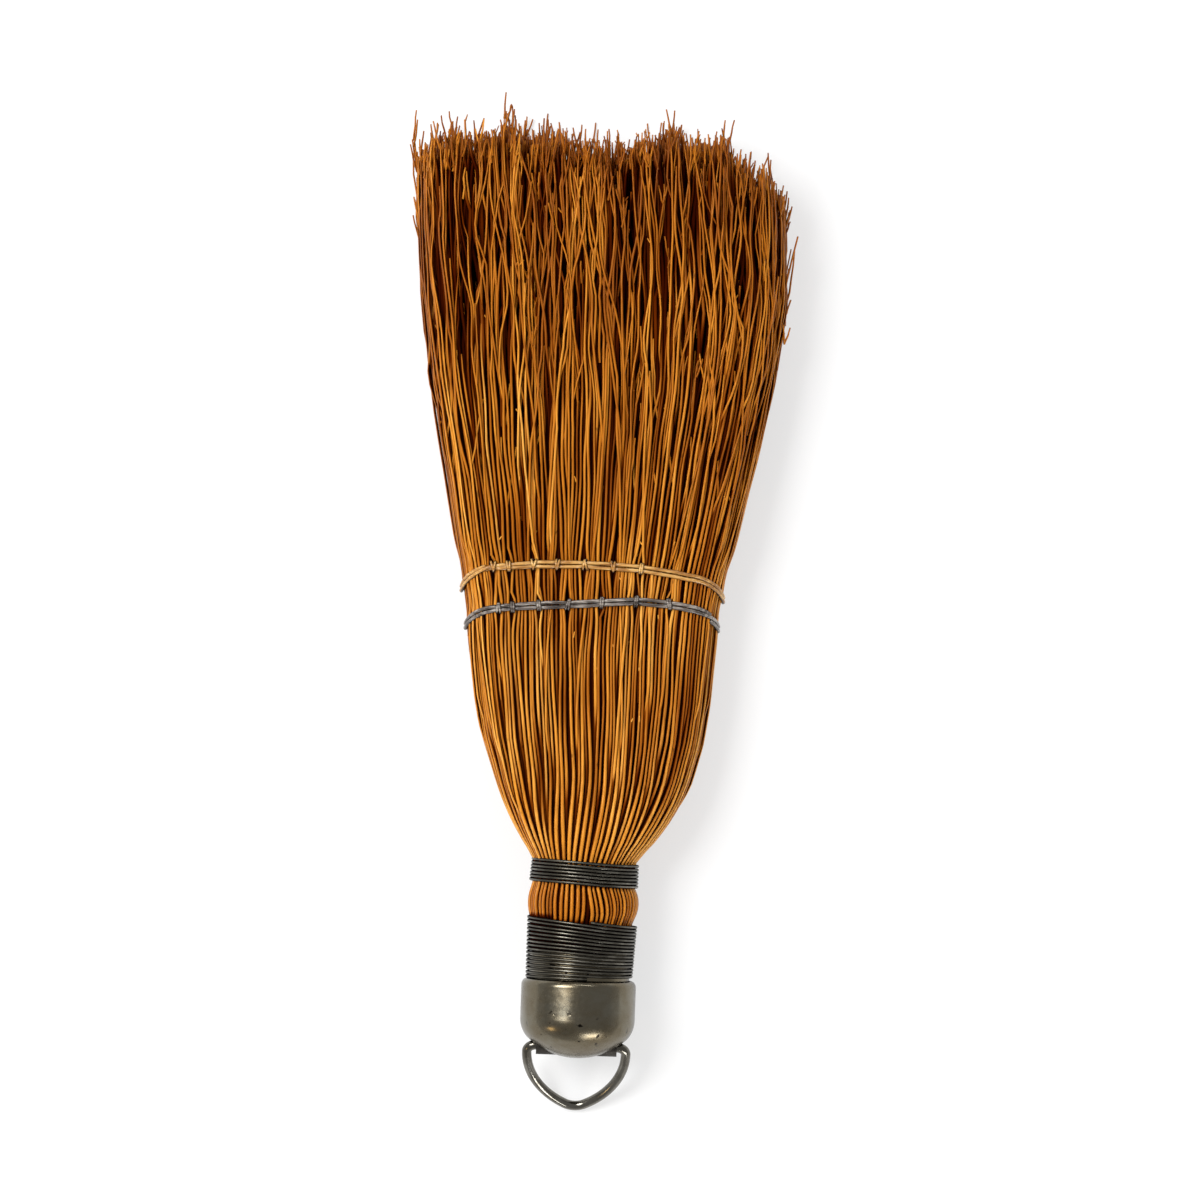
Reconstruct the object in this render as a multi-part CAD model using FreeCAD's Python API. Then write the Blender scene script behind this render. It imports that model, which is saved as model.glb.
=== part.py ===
"""Hand broom in millimetres, lying on its back with the fan toward +Y and +Z up.

A flat fan of broom straw is sewn with two rows of twine and bound at the neck with wire.
A domed metal cap closes the handle end and carries a swinging hanging ring.
Places along the broom are measured from the crown of the cap.
"""
import FreeCAD, Part
import math
import os
from collections import namedtuple

from FreeCAD import Vector

# Fits
seat_gap = 0.3
hinge_play = 0.1
sleeve_seat = 0.2
straw_gap = 0.12
thread_gap = 0.15

# Metal cap
cap_radius = 17.2
cap_wall = 0.6
crown_radius = 22.0
knuckle_radius = 8.5
barrel_length = 10.0
collar_length = 8.0

# Hanging ring and its sleeve
ring_wire = 2.9
ring_reach = 24.35
ring_bar_half = 12.25
ring_corner_radius = 2.6
ring_leg_radius = 24.0
ring_tip_radius = 6.0
ring_end_gap = 0.4
sleeve_wall = 1.2
sleeve_length = 24.2

# Wire windings
binding_wire = 0.7
binding_gap = 0.43
handle_turns = 16
neck_turns = 7
tie_turns = 4

# Straw bundle: radii at the bound end, places and half sizes in the fan
butt_radius = 14.2
waist_radius = 16.3
neck_radius = 14.75
waist_length = 8.6
waist_rise = 2.4
collar_step = 2.2
fan_length = 224.0
sewn_half_width = 36.9
sewn_half_thickness = 12.0
tip_half_width = 56.6
core_short = 20.0
straw = 1.25
layer_gap = 0.2
tip_drop = 10.0
tip_ragged = 9.0
straw_sides = 6
core_points = 32

# Shares of the way from neck to sewn rows: along, width, thickness
flare_shares = (
    (0.08, 0.23, 0.00),
    (0.17, 0.40, 0.05),
    (0.30, 0.60, 0.20),
    (0.48, 0.78, 0.45),
    (0.74, 0.92, 0.80),
)
# Shares of the way from sewn rows to tips: along, width, thickness
spread_shares = (
    (0.31, 0.45, 0.22),
    (0.54, 0.80, 0.55),
    (0.80, 0.97, 0.90),
    (1.00, 1.00, 1.00),
)
sewn_top_width_share = 0.20
sewn_top_thickness_share = 0.04
straw_tip_share = 0.6
golden_share = 0.618

# Sewn rows
twine = 1.2
thread = 0.9
twine_gap = 0.5
band_turns = 2
stitch_pitch = 8.15
stitch_bend = 1.2
stitches_per_row = 6
stitch_spread_share = 0.75
lower_row_from_neck = 76.5
upper_row_from_neck = 88.2
lower_row_rise = 2.8
upper_row_rise = 3.7

# Sizes that follow
wire_radius = binding_wire / 2
binding_pitch = binding_wire + binding_gap
collar_radius = butt_radius + seat_gap + cap_wall
shoulder_radius = cap_radius - collar_radius
sleeve_bore = ring_wire / 2 + hinge_play
sleeve_radius = sleeve_bore + sleeve_wall
layer_step = straw + layer_gap
band_pitch = twine + twine_gap
band_offset = seat_gap + twine / 2
stitch_reach = stitch_spread_share * band_pitch + twine / 2 + thread / 2 + seat_gap
stitch_level = seat_gap + twine + seat_gap + thread / 2

# Places along the broom that follow
knuckle_at = crown_radius - math.sqrt(
    (crown_radius - knuckle_radius) ** 2 - (cap_radius - knuckle_radius) ** 2
)
hinge_at = cap_wall + sleeve_seat + sleeve_radius
butt_at = hinge_at + sleeve_radius + seat_gap
barrel_at = knuckle_at + barrel_length
shoulder_at = barrel_at + shoulder_radius
collar_at = shoulder_at + collar_length
handle_from = shoulder_at + seat_gap + wire_radius
handle_to = handle_from + handle_turns * binding_pitch
neck_from = handle_to + waist_length
neck_to = neck_from + neck_turns * binding_pitch
wire_margin = wire_radius + seat_gap
neck_at = neck_to + wire_margin
lower_row_at = neck_at + lower_row_from_neck
upper_row_at = neck_at + upper_row_from_neck
row_margin = stitch_reach + seat_gap
sewn_from = lower_row_at - 2 * lower_row_rise - row_margin
sewn_to = upper_row_at + row_margin
tip_at = neck_at + fan_length

# The ring hangs down until its tip lies on the table
ring_slope = math.asin((cap_radius - ring_wire / 2) / ring_reach)
ring_end = hinge_at - ring_reach * math.cos(ring_slope) - ring_wire / 2
to_frame = Vector(0, -(tip_at + ring_end) / 2, cap_radius)

Station = namedtuple("Station", "along half_width half_thickness under_share tight_share")


def blend(low, high, share):
    return low + (high - low) * share


def stadium_point(half_width, half_thickness, share):
    """Point at a share of the way round a flat-sided oval, from its right edge over the front."""
    flat = half_width - half_thickness
    arc = math.pi / 2 * half_thickness
    quarter = flat + arc
    quadrant, reach = divmod(share % 1 * 4 * quarter, quarter)
    if quadrant in (1, 3):
        reach = quarter - reach
    if reach < arc:
        x = flat + half_thickness * math.cos(reach / half_thickness)
        z = half_thickness * math.sin(reach / half_thickness)
    else:
        x = flat + arc - reach
        z = half_thickness
    return (-x if quadrant in (1, 2) else x), (-z if quadrant > 1 else z)


def bundle_stations():
    """Sections of the straw bundle from the butts in the cap to the tips."""
    bound = [
        (butt_at, butt_radius),
        (collar_at + seat_gap, butt_radius),
        (collar_at + collar_step, collar_radius),
        (handle_to + wire_margin, collar_radius),
        (handle_to + wire_margin + waist_rise, waist_radius),
        (neck_from - wire_margin - waist_rise, waist_radius),
        (neck_from - wire_margin, neck_radius),
        (neck_at, neck_radius),
    ]
    stations = [Station(along, radius, radius, 1, 0) for along, radius in bound]
    for along, width, thickness in flare_shares:
        stations.append(Station(
            blend(neck_at, sewn_from, along),
            blend(neck_radius, sewn_half_width, width),
            blend(neck_radius, sewn_half_thickness, thickness),
            1 - width, 0))
    stations.append(Station(sewn_from, sewn_half_width, sewn_half_thickness, 0, 1))
    stations.append(Station(
        sewn_to,
        blend(sewn_half_width, tip_half_width, sewn_top_width_share),
        blend(sewn_half_thickness, cap_radius, sewn_top_thickness_share),
        0, 1))
    for along, width, thickness in spread_shares:
        stations.append(Station(
            blend(sewn_from, tip_at, along),
            blend(sewn_half_width, tip_half_width, width),
            blend(sewn_half_thickness, cap_radius, thickness),
            0, 0))
    return stations


stations = bundle_stations()


def station_at(along):
    for low, high in zip(stations, stations[1:]):
        if along <= high.along:
            share = (along - low.along) / (high.along - low.along)
            return Station(*(blend(a, b, share) for a, b in zip(low, high)))
    return stations[-1]


# Straws stand in bunches, and the stitches pass between the bunches
row_station = station_at(lower_row_at)
row_flat = row_station.half_width - row_station.half_thickness
row_girth = 4 * row_flat + 2 * math.pi * row_station.half_thickness
bunch_count = 2 * round(row_girth / stitch_pitch / 2)
bunch_pitch = row_girth / bunch_count
bunch_room = bunch_pitch - thread - 2 * thread_gap - straw
under_radius = min(butt_radius, neck_radius) - straw / 2 - layer_step
neck_fit = math.floor(2 * math.pi * under_radius / (straw + straw_gap))
sewn_fit = math.floor(bunch_room / (straw + straw_gap)) + 1
bunch_straws = min(sewn_fit, math.floor(2 * neck_fit / bunch_count))
straw_count = bunch_count * bunch_straws
tight_share = min(1, bunch_room / (bunch_straws - 1) * bunch_straws / bunch_pitch)


def straw_share(number, tightness):
    """Share of the way round the bundle at which a straw stands."""
    bunch, place = divmod(number, bunch_straws)
    offset = (place + 0.5) / bunch_straws - 0.5
    return (bunch + 0.5 + offset * blend(1, tight_share, tightness)) / bunch_count


def straw_tip(number):
    x, z = stadium_point(tip_half_width, cap_radius, straw_share(number, 0))
    ragged = tip_ragged * (number * golden_share % 1)
    return tip_at - tip_drop * (x / tip_half_width) ** 2 - ragged


def straw_solid(number):
    """One straw: six-sided sections, held parallel so that every side is flat."""
    end = straw_tip(number)
    under = number % 2
    places = [station for station in stations if station.along < end - tip_ragged]
    places.append(station_at(end))
    outlines = []
    for station in places:
        inset = straw / 2 + under * station.under_share * layer_step
        x, z = stadium_point(
            station.half_width - inset,
            station.half_thickness - inset,
            straw_share(number, station.tight_share))
        taper = max(0, (station.along - sewn_to) / (end - sewn_to))
        radius = straw / 2 * blend(1, straw_tip_share, taper)
        corners = []
        for side in range(straw_sides + 1):
            turn = 2 * math.pi * side / straw_sides
            corners.append(Vector(x + radius * math.cos(turn), station.along, z + radius * math.sin(turn)))
        outlines.append(Part.makePolygon(corners))
    return Part.makeLoft(outlines, True, True)


def straw_group(number):
    """Name of the node that a straw belongs to, by the side on which it lies in the sewn rows."""
    x, z = stadium_point(row_station.half_width, row_station.half_thickness, straw_share(number, 1))
    if x > row_flat:
        return "right_shoulder_straws"
    if x < -row_flat:
        return "left_shoulder_straws"
    side = "front" if z > 0 else "back"
    layer = "under" if number % 2 else "cover"
    return f"{side}_{layer}_straws"


def arc_edge(start, corner, end):
    """Arc that leaves start toward corner and arrives at end from corner, both equally far off."""
    middle = (start + end) * 0.5
    half_chord = (end - start).Length / 2
    rise = (corner - middle).Length
    if rise < half_chord * 1e-6:
        return Part.makeLine(start, end)
    half_turn = math.atan2(rise, half_chord)
    bulge = (corner - middle) * (math.tan(half_turn / 2) / math.tan(half_turn))
    return Part.Arc(start, middle + bulge, end).toShape()


def biarc_edges(start, leaving, end, arriving):
    """Two arcs that join start to end along the given unit directions."""
    chord = end - start
    both = leaving + arriving
    slack = 2 * (1 - leaving.dot(arriving))
    along = chord.dot(both)
    reach = (math.sqrt(along ** 2 + slack * chord.dot(chord)) - along) / slack
    first = start + leaving * reach
    second = end - arriving * reach
    middle = (first + second) * 0.5
    return [arc_edge(start, first, middle), arc_edge(middle, second, end)]


def through_points(points, directions, tail):
    """Edges of arcs through points, with a straight tail at both ends."""
    edges = [Part.makeLine(points[0] - directions[0] * tail, points[0])]
    for start, leaving, end, arriving in zip(points, directions, points[1:], directions[1:]):
        edges.extend(biarc_edges(start, leaving, end, arriving))
    edges.append(Part.makeLine(points[-1], points[-1] + directions[-1] * tail))
    return edges


def rounded_edges(corners, bend):
    """Edges of lines between corners, with every corner rounded."""
    edges = []
    here = corners[0]
    for before, corner, after in zip(corners, corners[1:], corners[2:]):
        back = (before - corner).normalize()
        onward = (after - corner).normalize()
        reach = bend / math.tan(back.getAngle(onward) / 2)
        edges.append(Part.makeLine(here, corner + back * reach))
        edges.append(arc_edge(corner + back * reach, corner, corner + onward * reach))
        here = corner + onward * reach
    edges.append(Part.makeLine(here, corners[-1]))
    return edges


def tube(edges, diameter):
    start = edges[0].valueAt(edges[0].FirstParameter)
    heading = edges[0].tangentAt(edges[0].FirstParameter)
    outline = Part.Wire(Part.makeCircle(diameter / 2, start, heading))
    return Part.Wire(edges).makePipeShell([outline], True, False)


def print_least_gap(name, edges, diameter):
    """Print the least gap between stretches of a tube that lie apart along it."""
    step = diameter / 2
    points = []
    for edge in edges:
        points.extend(edge.discretize(max(2, math.ceil(edge.Length / step) + 1))[1:])
    apart = math.ceil(2 * math.pi * diameter / step)
    least = min(
        first.distanceToPoint(second)
        for number, first in enumerate(points)
        for second in points[number + apart:]
    )
    print(f"{name}: least gap to itself {least - diameter:.2f} mm")


def winding(name, radius, start, turns):
    """Wire wound round the bundle, from the front, both cut ends lying on the front."""
    rise = binding_pitch / (2 * math.pi)
    points = []
    directions = []
    for half in range(2 * turns + 1):
        turn = math.pi * (half + 0.5)
        points.append(Vector(radius * math.cos(turn), start + rise * math.pi * half, radius * math.sin(turn)))
        directions.append(Vector(-radius * math.sin(turn), rise, radius * math.cos(turn)).normalize())
    edges = through_points(points, directions, binding_wire)
    print_least_gap(name, edges, binding_wire)
    return tube(edges, binding_wire)


def band(name, row_at, row_rise):
    """Twine laid round the sewn fan twice, arched on the front and the back."""
    station = station_at(row_at)
    flat = station.half_width - station.half_thickness
    level = station.half_thickness + band_offset
    lean = 2 * math.atan(row_rise / flat)
    low = row_at - row_rise
    points = []
    directions = []
    corners = ((-flat, level, 1, 1), (flat, level, 1, -1), (flat, -level, -1, 1), (-flat, -level, -1, -1))
    for number in range(4 * band_turns + 1):
        x, z, way, climb = corners[number % 4]
        shift = band_pitch * (number / 4 - (2 * band_turns - 0.5) / 4)
        points.append(Vector(x, low + shift, z))
        directions.append(Vector(way * math.cos(lean), climb * math.sin(lean), 0))
    edges = through_points(points, directions, twine)
    print_least_gap(name, edges, twine)
    return tube(edges, twine)


def row_drop(row_at, row_rise, x):
    """How far a band has come down from its middle at a place across the fan."""
    station = station_at(row_at)
    flat = station.half_width - station.half_thickness
    radius = (flat ** 2 + row_rise ** 2) / (2 * row_rise)
    return radius - math.sqrt(radius ** 2 - x ** 2)


def stitch_shares():
    """Shares round the bundle, left to right, of the gaps between bunches on the front."""
    middle = bunch_count / 4
    first = math.ceil(middle - stitches_per_row / 2)
    gaps = range(first, first + stitches_per_row)
    return [gap / bunch_count for gap in reversed(gaps)]


def stitch_passes(row_at, row_rise):
    """Places, above and below the band in turn, where the thread goes through the bundle."""
    passes = []
    for share in stitch_shares():
        row = station_at(row_at)
        x, z = stadium_point(row.half_width, row.half_thickness, share)
        middle = row_at - row_drop(row_at, row_rise, x)
        for along in (middle + stitch_reach, middle - stitch_reach):
            station = station_at(along)
            x, z = stadium_point(station.half_width, station.half_thickness, share)
            passes.append(Vector(x, along, 0))
    return passes


def stitching(name, row_at, row_rise):
    """One thread: straight over the band on the front, slanted over it on the back."""
    level = station_at(row_at).half_thickness + stitch_level
    side = -1
    corners = []
    for place in stitch_passes(row_at, row_rise):
        corners.append(place + Vector(0, 0, side * level))
        side = -side
        corners.append(place + Vector(0, 0, side * level))
    edges = rounded_edges(corners, stitch_bend)
    print_least_gap(name, edges, thread)
    return tube(edges, thread)


def core():
    """Inside straws as one solid, with channels for the stitches and a groove for the tie."""
    outlines = []
    core_at = tip_at - core_short
    places = [station for station in stations if station.along < core_at]
    places.append(station_at(core_at))
    for station in places:
        inset = straw + station.under_share * layer_step + seat_gap
        points = []
        for number in range(core_points):
            x, z = stadium_point(
                station.half_width - inset, station.half_thickness - inset, number / core_points)
            points.append(Vector(x, station.along, z))
        curve = Part.BSplineCurve()
        curve.interpolate(points, True)
        outlines.append(Part.Wire(curve.toShape()))
    solid = Part.makeLoft(outlines, True, True)
    cuts = [tie_groove()]
    for row_at, row_rise in rows:
        reach = station_at(row_at).half_width
        for place in stitch_passes(row_at, row_rise):
            cuts.append(Part.makeCylinder(
                thread / 2 + thread_gap, 2 * reach, place - Vector(0, 0, reach), Vector(0, 0, 1)))
    return solid.cut(cuts)


def tie_radius():
    """Radius of the core's surface under the neck winding."""
    return neck_radius - straw - layer_step - seat_gap


def tie_from():
    return (neck_from + neck_to - tie_turns * binding_pitch) / 2


def tie_groove():
    start = Vector(0, tie_from() - wire_margin, 0)
    length = tie_turns * binding_pitch + 2 * wire_margin
    along = Vector(0, 1, 0)
    outside = Part.makeCylinder(waist_radius, length, start, along)
    return outside.cut(Part.makeCylinder(tie_radius() - binding_wire - seat_gap, length, start, along))


def end_cap():
    """Drawn sheet-metal cup: crown, knuckle, barrel, shoulder and collar, with holes for the sleeve."""
    crown_centre = Vector(0, crown_radius, 0)
    knuckle_centre = Vector(cap_radius - knuckle_radius, knuckle_at, 0)
    shoulder_centre = Vector(collar_radius, barrel_at, 0)
    joint = (knuckle_centre - crown_centre).normalize()
    joint_turn = math.atan2(-joint.y, joint.x)

    def on_circle(centre, radius, turn):
        return centre + Vector(radius * math.cos(turn), -radius * math.sin(turn), 0)

    def skin(depth):
        """Edges of the surface at a depth under the outside, from the crown up to the shoulder."""
        crown = crown_radius - depth
        knuckle = knuckle_radius - depth
        shoulder = shoulder_radius - depth
        crown_turn = (math.pi / 2 + joint_turn) / 2
        pole = on_circle(crown_centre, crown, math.pi / 2)
        meeting = on_circle(crown_centre, crown, joint_turn)
        barrel_low = on_circle(knuckle_centre, knuckle, 0)
        barrel_high = on_circle(shoulder_centre, shoulder, 0)
        top = on_circle(shoulder_centre, shoulder, -math.pi / 2)
        return [
            Part.Arc(pole, on_circle(crown_centre, crown, crown_turn), meeting).toShape(),
            Part.Arc(meeting, on_circle(knuckle_centre, knuckle, joint_turn / 2), barrel_low).toShape(),
            Part.makeLine(barrel_low, barrel_high),
            Part.Arc(barrel_high, on_circle(shoulder_centre, shoulder, -math.pi / 4), top).toShape(),
        ], pole, top

    outside, outer_pole, outer_top = skin(0)
    inside, inner_pole, inner_top = skin(cap_wall)
    lip = collar_radius - cap_wall
    rim = [
        outer_top,
        Vector(collar_radius, collar_at, 0),
        Vector(lip, collar_at, 0),
        Vector(lip, inner_top.y, 0),
        inner_top,
    ]
    edges = outside + [Part.makeLine(a, b) for a, b in zip(rim, rim[1:])]
    edges += inside + [Part.makeLine(inner_pole, outer_pole)]
    outline = Part.Wire(Part.__sortEdges__(edges))
    cup = Part.Face(outline).revolve(Vector(0, 0, 0), Vector(0, 1, 0), 360)
    hole = Part.makeCylinder(
        sleeve_radius + hinge_play, 2 * cap_radius, Vector(-cap_radius, hinge_at, 0), Vector(1, 0, 0))
    return cup.cut(hole)


def hinge_sleeve():
    start = Vector(-sleeve_length / 2, hinge_at, 0)
    across = Vector(1, 0, 0)
    pipe = Part.makeCylinder(sleeve_radius, sleeve_length, start, across)
    return pipe.cut(Part.makeCylinder(sleeve_bore, sleeve_length, start, across))


def ring_points():
    """Corner, leg and tip circles of the ring's right half, in its own plane: across, and away from the bar."""
    corner = Vector(ring_bar_half, ring_corner_radius, 0)
    tip = Vector(0, ring_reach - ring_tip_radius, 0)
    to_corner = ring_leg_radius - ring_corner_radius
    to_tip = ring_leg_radius - ring_tip_radius
    span = tip - corner
    reach = (to_corner ** 2 - to_tip ** 2 + span.Length ** 2) / (2 * span.Length)
    aside = math.sqrt(to_corner ** 2 - reach ** 2)
    heading = Vector(span).normalize()
    leg = corner + heading * reach + Vector(-heading.y, heading.x, 0) * aside
    leg_from = leg + (corner - leg).normalize() * ring_leg_radius
    leg_to = leg + (tip - leg).normalize() * ring_leg_radius
    middle = leg + ((leg_from - leg) + (leg_to - leg)).normalize() * ring_leg_radius
    turned = (leg_from - corner).normalize() + Vector(0, -1, 0)
    corner_middle = corner + turned.normalize() * ring_corner_radius
    return corner_middle, leg_from, middle, leg_to


def hanging_ring():
    """Wire bent to a rounded triangle, its two ends meeting inside the sleeve."""
    down = Vector(0, -math.cos(ring_slope), -math.sin(ring_slope))

    def place(point, side):
        return Vector(side * point.x, hinge_at, 0) + down * point.y

    corner_middle, leg_from, leg_middle, leg_to = ring_points()
    bar_in = Vector(ring_end_gap / 2, 0, 0)
    bar_out = Vector(ring_bar_half, 0, 0)
    tip = Vector(0, ring_reach, 0)
    right = [
        Part.makeLine(place(bar_in, 1), place(bar_out, 1)),
        Part.Arc(place(bar_out, 1), place(corner_middle, 1), place(leg_from, 1)).toShape(),
        Part.Arc(place(leg_from, 1), place(leg_middle, 1), place(leg_to, 1)).toShape(),
    ]
    left = [
        Part.Arc(place(leg_to, -1), place(leg_middle, -1), place(leg_from, -1)).toShape(),
        Part.Arc(place(leg_from, -1), place(corner_middle, -1), place(bar_out, -1)).toShape(),
        Part.makeLine(place(bar_out, -1), place(bar_in, -1)),
    ]
    round_tip = Part.Arc(place(leg_to, 1), place(tip, 1), place(leg_to, -1)).toShape()
    return tube(right + [round_tip] + left, ring_wire)


def save(name, *solids):
    shape = solids[0] if len(solids) == 1 else Part.makeCompound(list(solids))
    placed = shape.translated(to_frame)
    placed.exportStep(f"parts/{name}.step")
    print(name, len(placed.Solids), "solids", "valid" if placed.isValid() else "NOT VALID")


rows = ((lower_row_at, lower_row_rise), (upper_row_at, upper_row_rise))

os.makedirs("parts", exist_ok=True)
save("end_cap", end_cap())
save("hinge_sleeve", hinge_sleeve())
save("hanging_ring", hanging_ring())
save("handle_winding", winding("handle_winding", collar_radius + wire_margin, handle_from, handle_turns))
save("neck_winding", winding("neck_winding", neck_radius + wire_margin, neck_from, neck_turns))
save("core_tie", winding("core_tie", tie_radius() - wire_radius, tie_from(), tie_turns))
save("lower_band", band("lower_band", *rows[0]))
save("upper_band", band("upper_band", *rows[1]))
save("lower_stitching", stitching("lower_stitching", *rows[0]))
save("upper_stitching", stitching("upper_stitching", *rows[1]))
save("core_straws", core())
groups = {}
for number in range(straw_count):
    groups.setdefault(straw_group(number), []).append(straw_solid(number))
for name, straws in groups.items():
    save(name, *straws)
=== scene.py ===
"""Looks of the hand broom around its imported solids.

Every straw, side twig, wound wire and length of twine is a tube of its own. Shapes are worked out in
millimetres in the frame of the solids, and meshes are made in metres.
"""
import math

import bpy
import numpy as np
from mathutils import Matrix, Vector


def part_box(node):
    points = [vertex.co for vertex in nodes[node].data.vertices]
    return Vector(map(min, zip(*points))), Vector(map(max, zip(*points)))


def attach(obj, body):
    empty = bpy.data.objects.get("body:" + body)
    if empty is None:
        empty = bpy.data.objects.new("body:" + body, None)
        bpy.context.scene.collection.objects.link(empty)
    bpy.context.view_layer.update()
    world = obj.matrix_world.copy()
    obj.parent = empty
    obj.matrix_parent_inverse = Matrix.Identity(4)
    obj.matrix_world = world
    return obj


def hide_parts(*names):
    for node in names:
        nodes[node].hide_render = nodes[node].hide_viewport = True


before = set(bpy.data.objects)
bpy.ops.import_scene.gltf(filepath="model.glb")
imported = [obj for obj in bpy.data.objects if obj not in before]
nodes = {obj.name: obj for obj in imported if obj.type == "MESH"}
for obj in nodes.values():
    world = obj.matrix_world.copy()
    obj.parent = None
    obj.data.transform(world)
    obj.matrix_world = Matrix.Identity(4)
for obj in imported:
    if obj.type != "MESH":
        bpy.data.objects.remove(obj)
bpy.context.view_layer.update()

MM = 0.001
TINY = 1e-6
BROOM = "broom"
rng = np.random.default_rng(11)


def box_mm(node):
    low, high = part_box(node)
    return np.array(low) / MM, np.array(high) / MM


# Places taken from the solids
cap_low, cap_high = box_mm("end_cap")
core_low = box_mm("core_straws")[0]
handle_low, handle_high = box_mm("handle_winding")
neck_low, neck_high = box_mm("neck_winding")
AXIS_Z = (cap_low[2] + cap_high[2]) / 2
BUTT_INSET = 1.0
BUTT_Y = core_low[1] + BUTT_INSET
COLLAR_Y = cap_high[1]
NECK_Y = neck_high[1]
WAIST_Y = (handle_high[1] + neck_low[1]) / 2

# How far the windings lean down to the right, at the top of the handle and at the neck
HANDLE_LEAN = -0.10
NECK_LEAN = -0.036

# Outline of the fan, by distance above the neck: left and right half widths, half thickness
fan_at = (0, 6, 12, 18, 24, 36, 48, 60, 72, 84, 96, 120, 144, 168, 192, 226)
fan_left = (14.9, 18.9, 22.4, 25.3, 27.6, 31.7, 34.3, 36.2,
            37.5, 39.4, 41.8, 46.3, 50.9, 54.1, 55.9, 57.3)
fan_right = (15.9, 21.4, 25.6, 28.9, 31.2, 34.3, 35.9, 36.7,
             37.6, 39.3, 42.0, 47.0, 51.6, 54.4, 53.2, 51.2)
fan_thick = (14.9, 15.3, 15.1, 14.7, 14.2, 13.3, 12.6, 12.1,
             11.7, 11.8, 12.3, 13.3, 14.5, 15.6, 16.4, 16.9)

# Half widths of the bound bundle below the neck, which swells past the collar and between the windings
bound_at = (BUTT_Y, COLLAR_Y + 0.2, COLLAR_Y + 2.4, handle_high[1] - 1.8, handle_high[1] + 0.8, WAIST_Y,
            neck_low[1] - 0.8, neck_low[1] + 1.4)
bound_left = (14.1, 14.3, 15.1, 15.1, 16.0, 16.3, 16.0, 15.0)
bound_right = (14.1, 14.3, 15.1, 15.4, 17.0, 17.4, 17.0, 15.4)

# Line of the tips across the fan
tip_x = (-61, -50, -30, -12, -1, 13, 32, 42, 49, 53, 58)
tip_y = (134.8, 140.3, 143.8, 140.8, 137.8, 143.3, 142.3, 135.6, 129.8, 121.3, 107.3)
OUTLINE_ROUNDING = 12
OUTLINE_STEP = 0.5
PAST_TIPS = 6

# Straws in layers
STRAW_PITCH = 1.17
LOOSE_PITCH = 1.28
NECK_STRAW_PITCH = 1.45
SURFACE_INSET = 0.5
LAYER_STEP = 1.2
LANE_DEEP = 0.14
RISE_LENGTH = 26.0
SHOULDER_X = 26.0
FILL_SHARE = 0.70
LOOSE_GAP_SHARE = 0.10
RISING_SHARE = 0.6
INNER_FILL_SHARE = 0.92
WIDTH_SHARES = (0.78, 1.28)
GOLDEN_SHARE = 0.618
LANE_WANDER_SHARE = 0.20
WANDER_KNOTS = 12
WANDER_ROUNDING = 3

# Groups that straws gather in, with gaps between them
GROUP_SHARE = 0.00035
GROUP_WAVES = 6
GROUP_COUNTS = (16, 38)
GROUP_SLANT_LENGTH = 70

# Stations along straws, from, to and step: close together at the windings and the sewn rows
STATION_STEP = 4.0
FEWEST_STATIONS = 4
station_runs = (
    (BUTT_Y, COLLAR_Y, STATION_STEP),
    (COLLAR_Y, NECK_Y, 1.5),
    (NECK_Y, NECK_Y + 60.0, 3.0),
    (NECK_Y + 62.0, NECK_Y + 98.0, 2.2),
    (NECK_Y + 101.0, NECK_Y + fan_at[-1], STATION_STEP),
)

# Tips of straws: how far they end from the line, and how they thin out
TIP_WAVE = 0.9
TIP_WAVES = 5
TIP_WAVE_RATES = (0.35, 1.1)
TIP_SHORT = 4.5
BROKEN_SHORT = 60
BROKEN_SHARE = 0.12
TALL_TIP = 4.0
TALL_SHARE = 0.2
LEAST_STEP_SHARE = 0.1
TIP_LOSS_SHARE = 0.16
TAPER_POWER = 1.3
POINT_LOSS_SHARE = 0.48
POINT_LENGTH = 9

# Straying, more and more toward the tips
WILD_FROM = 88.0
WILD_TO = 190.0
STRAY_KNOTS = 24
STRAY_ASIDE = 1.15
STRAY_DEEP = 0.5
STRAY_MARGIN = 0.6
KINKED_SHARE = 0.09
KINK_SLOPE = 0.16
KINK_LASTING_SHARE = 0.5
KINK_DEEP_SHARE = 0.4
LEAN_FROM = 125.0
LEAN_WAVE = 2.1
LEAN_WAVES = 3
LEAN_LENGTHS = (9, 18)

# Turn at the waist, by angles from the right edge over the front
WAIST_TURN = 0.09
SLANT_FROM = 0.2
SLANT_TO = 1.3
SLANT_END = 1.47
SLANT_BELOW = 1.5
SLANT_ABOVE = 1.0

# How much painted light straws get: painted shade on their sides facing in, deep in the bundle and under
# the windings, and less of it at loose tips
DEPTH_FADE = 0.42
LOOSE_FADE = 0.9
CROWN_FROM = -0.05
CROWN_TO = 0.88
LOOSE_CROWN = 0.12
TIP_OPEN_SHARE = 0.8
TIP_OPEN_LENGTH = 4.5
TIP_DEPTH = 0.2
DEPTH_GAIN = 5.8
DEPTH_GAIN_LENGTH = 40
HIDDEN_DEPTH = 3.0
HANDLE_COVER = 1.4
NECK_COVER_LOW = 2.0
NECK_COVER_HIGH = 0.8

# Sides of the tubes, and tones of the straws; the lower tones of the under and inside layers are painted
# shade for their depth
STRAW_SIDES = 8
INSIDE_SIDES = 5
COVER_TONE = 0.60
UNDER_TONE = 0.54
INSIDE_TONE = 0.5
TONE_SPREAD = 0.12
LEAST_TONE = 0.05
FLOOR_GAP = 0.02

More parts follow.
